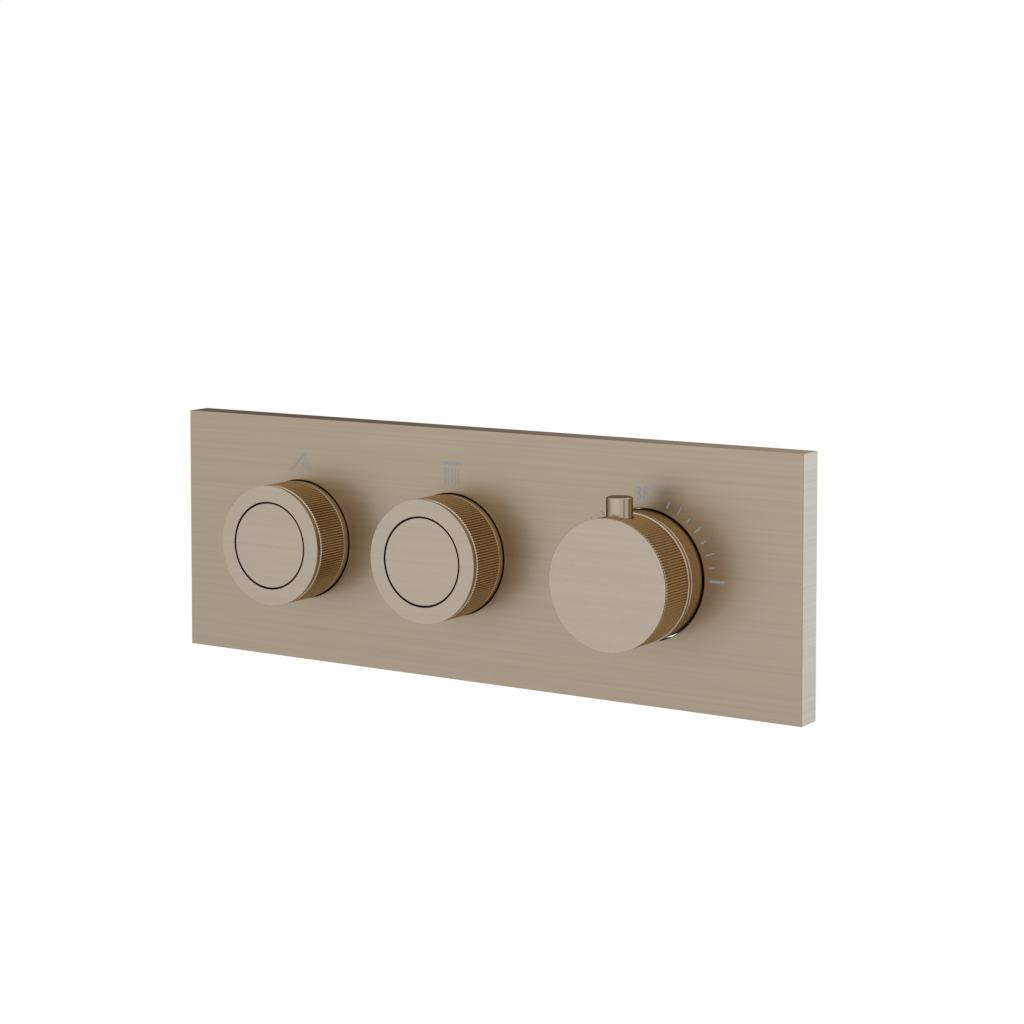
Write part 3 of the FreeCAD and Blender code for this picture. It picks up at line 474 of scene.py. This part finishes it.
handset_across, hand_head_width, hand_jet_width = -0.0675, 0.0008, 0.0004
hand_shower_lines = (
    (-0.00399, 0.0229, 0.00132, 0.02837, hand_head_width),
    (0.00011, 0.02515, 0.00261, 0.02269, hand_jet_width),
    (0.00108, 0.02566, 0.00366, 0.02317, hand_jet_width),
    (0.00154, 0.02668, 0.00416, 0.02412, hand_jet_width))
print_marks([stroke((handset_across + x0, z0), (handset_across + x1, z1), width, round_ends=True)
             for x0, z0, x1, z1, width in hand_shower_lines], "hand_shower_mark")

overhead_across, rain_head_width, rain_jet_width = -0.0075, 0.00095, 0.00042
rain_head_up, rain_jet_low, rain_jet_high = 0.0291, 0.0221, 0.0276
rain_shower = [stroke((overhead_across - 0.00384, rain_head_up), (overhead_across + 0.0034, rain_head_up),
                      rain_head_width, round_ends=True)]
for jet in (-0.00279, -0.00151, -0.00023, 0.00104, 0.00234):
    rain_shower.append(stroke((overhead_across + jet, rain_jet_low), (overhead_across + jet, rain_jet_high),
                              rain_jet_width, round_ends=True))
print_marks(rain_shower, "rain_shower_mark")

scale_start, short_end, long_end, last_end = 0.022, 0.024, 0.025, 0.027
line_width, last_width = 0.00048, 0.00085
scale_lines = []
for turn in range(20, 91, 10):
    line_end, width = (short_end if turn % 20 == 0 else long_end), line_width
    if turn == 90:
        line_end, width = last_end, last_width
    for side in (-1, 1):
        lean = math.radians(turn) * side
        ends = [(dial_across + r * math.sin(lean), r * math.cos(lean)) for r in (scale_start, line_end)]
        scale_lines.append(stroke(*ends, width, round_ends=False))
print_marks(scale_lines, "dial_scale")

figure_low, figure_high = (dial_across - 0.0033, 0.0225), (dial_across + 0.00345, 0.027)
fresh_selection()
bpy.ops.object.text_add(rotation=(math.radians(90), 0, 0))
figure = bpy.context.object
figure.data.body = "38°"
figure.data.extrude = ink_height / 2
figure.data.resolution_u = 6
figure.data.offset = 0.002
bpy.ops.object.convert(target="MESH")
bpy.ops.object.transform_apply(location=False, rotation=True, scale=False)
low, high = ([pick(v.co[axis] for v in figure.data.vertices) for axis in (0, 2)] for pick in (min, max))
shrink = [(figure_high[i] - figure_low[i]) / (high[i] - low[i]) for i in (0, 1)]
figure.scale = (shrink[0], 1, shrink[1])
figure.location = (figure_low[0] - low[0] * shrink[0], ink_middle, figure_low[1] - low[1] * shrink[1])
print_marks([figure], "dial_figure")


# Knobs: grips, buttons, dial and collar, turned from brass bar and coated like the plate. Their flat faces
# are brushed across, their sides are left as turned, and the grips and the dial are knurled to be held wet.
def turned_lines():
    """Which parts of a knob are its turned sides and its chamfers, and the fine rings that the lathe left."""
    ring_stretch = (60, 2600, 60)
    group, given, results = new_group("turned_lines", (
        ("Place", "NodeSocketVector", (0, 0, 0)), ("Facing", "NodeSocketVector", (0, 0, 0))),
        ("Side", "Chamfer", "Rings"))
    outwards = add_math(group, "ABSOLUTE", add_parts(group, given["Facing"])["Y"])
    chamfer = add_math(group, "MULTIPLY", add_range(group, outwards, 0.52, 0.62),
                       add_range(group, outwards, 0.9, 0.8))
    rings = add_noise(group, add_stretch(group, given["Place"], ring_stretch), scale=1.0, detail=2.0)
    group.links.new(add_range(group, outwards, 0.55, 0.4), results["Side"])
    group.links.new(chamfer, results["Chamfer"])
    group.links.new(add_contrast(group, rings), results["Rings"])
    return group


turned_group = turned_lines()


def knob_metal(name, across, crest, knurl_rear, knurl_front, groove_shade):
    """Coated brass: brushed flat faces with a painted sheen, turned sides, cut chamfers with a painted
    highlight, and a knurl painted lighter as a highlight and darker in its grooves as painted shade.
    """
    # The flat faces, brushed across, are painted paler and greyer than the sides, as a painted sheen of the
    # front light.
    lit_face_dark, lit_face_pale = (0.486, 0.392, 0.289, 1), (0.522, 0.424, 0.314, 1)
    side_dark, side_pale = (0.461, 0.319, 0.172, 1), (0.489, 0.338, 0.182, 1)
    # The knurled band is painted lighter than the plain side, as a painted highlight on its crests.
    knurl_highlight = (0.622, 0.447, 0.254, 1)
    # The chamfers are painted paler, as a painted highlight.
    rear_chamfer_highlight, front_chamfer_highlight = (0.56, 0.46, 0.35, 1), (0.56, 0.465, 0.355, 1)
    groove_top, groove_floor = crest - 0.00008, crest - 0.00022
    material, tree, shader = new_material(name)
    place = object_place(tree)
    streaks = add_streaks(tree, along=5, across=760)
    turned = add_node(tree, "ShaderNodeGroup", {"node_tree": turned_group}, {
        "Place": place, "Facing": surface_facing(tree)}).outputs
    centred = add_parts(tree, add_node(tree, "ShaderNodeMapping", {}, {
        "Vector": place, "Location": (-across, 0, 0)}).outputs["Vector"])
    radius = add_math(tree, "SQRT", add_math(tree, "MULTIPLY_ADD", centred["X"], centred["X"],
                                             add_math(tree, "MULTIPLY", centred["Z"], centred["Z"])))
    out = add_math(tree, "MULTIPLY", centred["Y"], -1.0)
    knurled = add_between(tree, out, knurl_rear, knurl_front)
    # The knurl's grooves are painted darker towards their floors, as painted shade.
    groove = add_math(tree, "MULTIPLY", add_math(tree, "MULTIPLY", knurled, turned["Side"]),
                      add_range(tree, radius, groove_top, groove_floor))
    side_tint = add_colour(tree, turned["Rings"], side_dark, side_pale)
    side_tint = add_colour(tree, knurled, side_tint, knurl_highlight)
    side_tint = add_colour(tree, groove, side_tint, groove_shade)
    tint = add_colour(tree, turned["Side"], add_colour(tree, streaks, lit_face_dark, lit_face_pale), side_tint)
    # Chamfers behind the face take the painted highlight, a little different at the rear and the front of the
    # knurl.
    front_half = add_math(tree, "GREATER_THAN", out, (knurl_rear + knurl_front) / 2)
    lit_chamfer = add_math(tree, "MULTIPLY", turned["Chamfer"], add_math(tree, "LESS_THAN", out, knurl_front))
    tint = add_colour(tree, lit_chamfer, tint, add_colour(tree, front_half, rear_chamfer_highlight, front_chamfer_highlight))
    finish = add_math(tree, "MULTIPLY_ADD", turned["Side"],
                      add_math(tree, "SUBTRACT", turned["Rings"], streaks), streaks)
    tree.links.new(add_range(tree, finish, 0.0, 1.0, to_low=0.26, to_high=0.29), shader.inputs["Roughness"])
    add_relief(tree, shader, add_math(tree, "MULTIPLY", turned["Side"], turned["Rings"]),
               strength=0.03, depth=0.00002)
    shader.inputs["Metallic"].default_value = 1.0
    shader.inputs["Specular Tint"].default_value = (0.72, 0.62, 0.51, 1)
    return material, tree, shader, tint, radius, out


# The gap round each button and the foot of each grip lie in deep shade.
seam_low, seam_high, seam_shade = 0.01371, 0.01433, (0.050, 0.039, 0.028, 1)
grip_foot, foot_shade = plate_front + 0.00022, (0.010, 0.008, 0.006, 1)
for control, across in (("handset", handset_across), ("overhead", overhead_across)):
    grip_metal, tree, shader, tint, radius, out = knob_metal(
        f"{control}_metal", across, crest=0.01955, knurl_rear=0.0122, knurl_front=0.0244,
        groove_shade=(0.285, 0.197, 0.106, 1))
    tint = add_colour(tree, add_between(tree, radius, seam_low, seam_high), tint, seam_shade)
    at_foot = add_math(tree, "LESS_THAN", out, grip_foot)
    tree.links.new(add_colour(tree, at_foot, tint, foot_shade), shader.inputs["Base Color"])
    dress(grip_metal, f"{control}_grip", f"{control}_button")

# A dark line is painted round the dial before and behind its knurl, as painted shade on the sides of its
# rims.
rear_line, front_line = (0.0178, 0.0187), (0.0319, 0.0323)
line_radius, rim_shade = 0.01986, (0.27, 0.18, 0.095, 1)
dial_metal, tree, shader, tint, radius, out = knob_metal(
    "dial_metal", dial_across, crest=0.0199, knurl_rear=0.01885, knurl_front=0.0316,
    groove_shade=(0.445, 0.325, 0.19, 1))
in_rear_line = add_math(tree, "MULTIPLY", add_math(tree, "LESS_THAN", radius, line_radius),
                        add_between(tree, out, *rear_line))
rim_shade_mask = add_math(tree, "MAXIMUM", in_rear_line, add_between(tree, out, *front_line))
tree.links.new(add_colour(tree, rim_shade_mask, tint, rim_shade), shader.inputs["Base Color"])
dress(dial_metal, "temperature_dial", "dial_collar")


# Safety button: a small pin turned from the same coated brass, finished finely round its upright axis. It
# stands in a hole in the top of the dial on its own spring, and its flange inside the dial keeps it there.
pin_dark, pin_pale = (0.444, 0.356, 0.256, 1), (0.490, 0.395, 0.289, 1)
pin_ring_stretch = (60, 60, 1800)
pin_metal, tree, shader = new_material("pin_metal")
rings = add_noise(tree, add_stretch(tree, object_place(tree), pin_ring_stretch), scale=1.0, detail=2.0)
paint(tree, shader, add_colour(tree, rings, pin_dark, pin_pale),
      add_range(tree, rings, 0.3, 0.7, to_low=0.21, to_high=0.25))
shader.inputs["Metallic"].default_value = 1.0
shader.inputs["Specular Tint"].default_value = (0.42, 0.33, 0.24, 1)
dress(pin_metal, "safety_button")


# Return springs: cold wound from round stainless wire, one under each push button and one under the safety
# button. They stand loose between a carrier and a button.
spring_steel, shader = speckled(
    "spring_steel", dark=(0.43, 0.42, 0.41, 1), pale=(0.60, 0.585, 0.57, 1), specks_per_metre=1400, detail=3,
    smooth=0.22, rough=0.36)
shader.inputs["Metallic"].default_value = 1.0


def return_spring(name, node, body, coil_radius, wire_radius, turns, length, seat, tilt):
    wire_sides, steps_per_turn = 12, 40
    spring = winding(wire_sides, wire_radius, coil_radius, turns, length - 2 * wire_radius, steps_per_turn)
    spring.location.z = wire_radius
    bpy.ops.object.transform_apply(location=True)
    spring.rotation_euler = tilt
    spring.location = seat
    settle(spring, name)
    cover(spring, spring_steel)
    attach(spring, body)
    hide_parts(node)
    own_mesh(spring)


for control, across in (("handset", handset_across), ("overhead", overhead_across)):
    return_spring(f"{control}_return_spring", f"{control}_spring", f"{control}_control",
                  coil_radius=0.0075, wire_radius=0.00045, turns=3.5, length=0.0067, seat=(across, -0.018, 0),
                  tilt=(math.radians(90), 0, 0))
return_spring("safety_return_spring", "safety_spring", "dial",
              coil_radius=0.0032, wire_radius=0.0003, turns=4.0, length=0.007,
              seat=(dial_across, -0.0247, 0.008), tilt=(0, 0, 0))


# Studio: a plain pale floor under the part, a white surround that the camera sees, and soft cool light from
# the front with a brighter wall at the back right and a dim corner at the back left.
floor_drop, floor_radius, floor_sides = 0.3, 0.9, 64
paper_dark, paper_pale = (0.54, 0.54, 0.54, 1), (0.56, 0.56, 0.56, 1)
glow_seen, glow_mirrored = 0.62, 0.2
fresh_selection()
bpy.ops.mesh.primitive_circle_add(vertices=floor_sides, radius=floor_radius, fill_type="NGON",
                                  location=(0, 0, -floor_drop))
floor = bpy.context.object
floor.name = "floor"
paper, tree, shader = new_material("floor_paper")
fibre = add_noise(tree, object_place(tree), scale=40, detail=3)
tree.links.new(add_colour(tree, fibre, paper_dark, paper_pale), shader.inputs["Base Color"])
shader.inputs["Roughness"].default_value = 0.9
shader.inputs["Specular IOR Level"].default_value = 0.0
path = tree.nodes.new("ShaderNodeLightPath").outputs
mirrored = add_math(tree, "MAXIMUM", path["Is Glossy Ray"], path["Is Transmission Ray"])
glow = add_math(tree, "MAXIMUM", add_math(tree, "MULTIPLY", path["Is Camera Ray"], glow_seen),
                add_math(tree, "MULTIPLY", mirrored, glow_mirrored))
shader.inputs["Emission Color"].default_value = (1, 1, 1, 1)
tree.links.new(glow, shader.inputs["Emission Strength"])
cover(floor, paper)


def add_strip(tree, value, start, full, fading, end):
    """A band across the surround, soft at both sides."""
    return add_math(tree, "MULTIPLY", add_range(tree, value, start, full),
                    add_range(tree, value, end, fading))


back_light, dim_corner = (0.92, 0.99, 1.1, 1), (0.04, 0.034, 0.022, 1)
back_right_wall = (1.35, 1.51, 1.75, 1)
left_light, middle_light = (0.853, 0.915, 0.979, 1), (0.985, 1.06, 1.15, 1)
right_light, far_left_light = (0.885, 0.895, 0.905, 1), (0.5, 0.48, 0.45, 1)
pale_strip, dim_strip = (1.05, 1.1, 1.16, 1), (0.3, 0.3, 0.29, 1)
world = bpy.data.worlds.new("studio")
world.use_nodes = True
tree = world.node_tree
towards = add_parts(tree, tree.nodes.new("ShaderNodeTexCoord").outputs["Generated"])
sideways = towards["X"]
in_corner = add_math(tree, "MULTIPLY", add_range(tree, towards["Z"], -0.08, 0.03),
                     add_range(tree, sideways, -0.395, -0.525))
behind = add_colour(tree, in_corner, back_light, dim_corner)
behind = add_colour(tree, add_range(tree, sideways, 0.05, 0.45), behind, back_right_wall)
before = add_colour(tree, add_range(tree, sideways, -0.65, -0.42), left_light, middle_light)
before = add_colour(tree, add_range(tree, sideways, 0.3, 0.5), before, right_light)
in_pale_strip = add_strip(tree, sideways, start=0.17, full=0.25, fading=0.30, end=0.38)
in_dim_strip = add_strip(tree, sideways, start=0.855, full=0.89, fading=0.94, end=0.965)
before = add_colour(tree, in_pale_strip, before, pale_strip)
before = add_colour(tree, in_dim_strip, before, dim_strip)
before = add_colour(tree, add_range(tree, sideways, -0.8, -0.88), before, far_left_light)
surround = add_colour(tree, add_range(tree, towards["Y"], 0.55, 0.15), behind, before)
to_camera = tree.nodes.new("ShaderNodeLightPath").outputs["Is Camera Ray"]
tree.links.new(add_colour(tree, to_camera, surround, (1, 1, 1, 1)), tree.nodes["Background"].inputs["Color"])
bpy.context.scene.world = world


# Camera at the photograph's place, a little above the part and to its right. It looks nearly level, which
# keeps the plate's ends upright, and the frame is shifted down on to the part.
camera_place, camera_dip, camera_turn = (0.41978, -0.644, 0.12484), 3.459, 32.533
view = bpy.data.cameras.new("camera")
view.lens = 85.424
view.sensor_width = 36.0
view.shift_y = -0.2
camera = bpy.data.objects.new("camera", view)
camera.location = camera_place
camera.rotation_euler = (math.radians(90 - camera_dip), 0, math.radians(camera_turn))
bpy.context.scene.collection.objects.link(camera)
bpy.context.scene.camera = camera
bpy.context.scene.view_settings.view_transform = "Standard"
